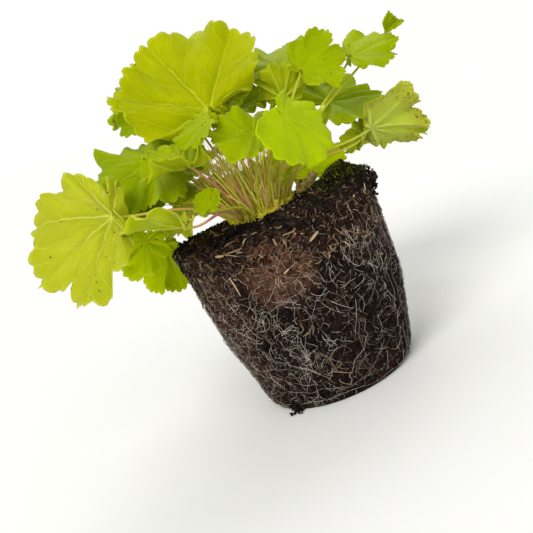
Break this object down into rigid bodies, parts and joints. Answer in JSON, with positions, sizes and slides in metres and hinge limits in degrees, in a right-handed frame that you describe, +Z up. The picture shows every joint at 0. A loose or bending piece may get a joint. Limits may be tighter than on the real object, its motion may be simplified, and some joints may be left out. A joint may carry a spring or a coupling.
{
  "type": "heuchera plant with bare root ball",
  "caption": "Young lime-leaved heuchera lifted from its pot: rosette of lobed, toothed leaves on thin stems over a tapered round ball of soil bound by pale roots.",
  "frame": {"origin": "centre of the root ball's flat base", "axes": "+Z up through the plant, the front at -Y, +X to the viewer's right"},
  "size_m": [0.2009, 0.1632, 0.1808],
  "materials": {
    "soil": "matt crumbly peat",
    "roots": "matt fibrous",
    "crown": "matt, rough leaf bases",
    "dry_leaf": "matt, papery",
    "leaf": "satin, thin and translucent"
  },
  "bodies": {
    "root": {"root_ball": "soil", "root_net": "roots", "crown": "crown", "dry_leaf": "dry_leaf", "leaf_back": "leaf", "leaf_back_far_left": "leaf", "leaf_back_left": "leaf", "leaf_back_low": "leaf", "leaf_back_right": "leaf", "leaf_back_top": "leaf", "leaf_behind_left": "leaf", "leaf_behind_right": "leaf", "leaf_far_left": "leaf", "leaf_far_right": "leaf", "leaf_front_bright": "leaf", "leaf_front_left": "leaf", "leaf_front_narrow": "leaf", "leaf_front_small": "leaf", "leaf_funnel": "leaf", "leaf_hanging_left": "leaf", "leaf_heart": "leaf", "leaf_inner_left": "leaf", "leaf_low_left": "leaf", "leaf_low_right": "leaf", "leaf_mid_left": "leaf", "leaf_right_low": "leaf", "leaf_shade_front": "leaf", "leaf_shade_left": "leaf", "leaf_tiny_right": "leaf", "leaf_top_left": "leaf", "leaf_top_right": "leaf", "leaf_upper_right": "leaf", "leaf_young_right": "leaf", "leaf_shade_top": "leaf", "leaf_front_cup": "leaf", "leaf_small_right": "leaf"}
  },
  "joints": []
}
